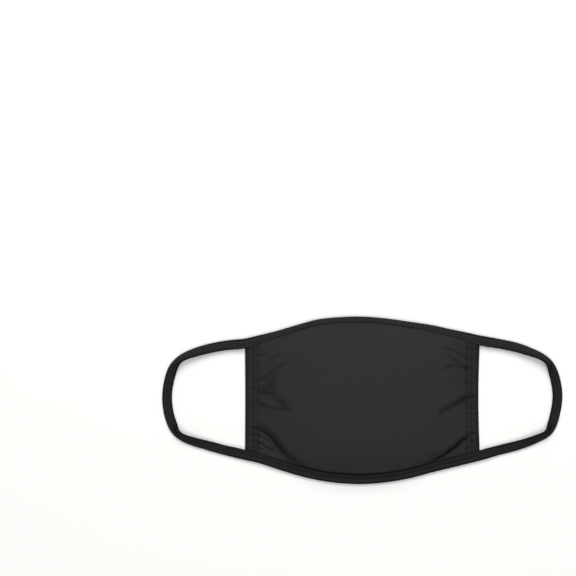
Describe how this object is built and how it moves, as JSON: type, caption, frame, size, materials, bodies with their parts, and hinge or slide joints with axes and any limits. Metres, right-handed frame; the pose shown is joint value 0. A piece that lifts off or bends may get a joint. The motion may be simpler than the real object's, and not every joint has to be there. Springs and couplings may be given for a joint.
{
  "type": "cloth face mask",
  "caption": "Domed two-ply jersey face mask with gathered side hems, bound edges and ear loops of the same tape, lying on its inner side.",
  "frame": {"origin": "under the middle of the whole mask, on the surface that it lies on", "axes": "+X to the right as the mask's front faces you, +Y towards the nose edge, +Z out of the face"},
  "size_m": [0.32, 0.134, 0.0275],
  "materials": {
    "jersey_panel": "black cotton jersey, matt, with soft creases at the sides",
    "jersey_hem": "the same jersey, turned and stitched in two rows",
    "jersey_tape": "black jersey tape, folded lengthwise"
  },
  "bodies": {
    "root": {"face_panel": "jersey_panel", "side_hem_left": "jersey_hem", "side_hem_right": "jersey_hem", "nose_edge_binding": "jersey_tape", "chin_edge_binding": "jersey_tape", "ear_loop_left": "jersey_tape", "ear_loop_right": "jersey_tape"}
  },
  "joints": []
}
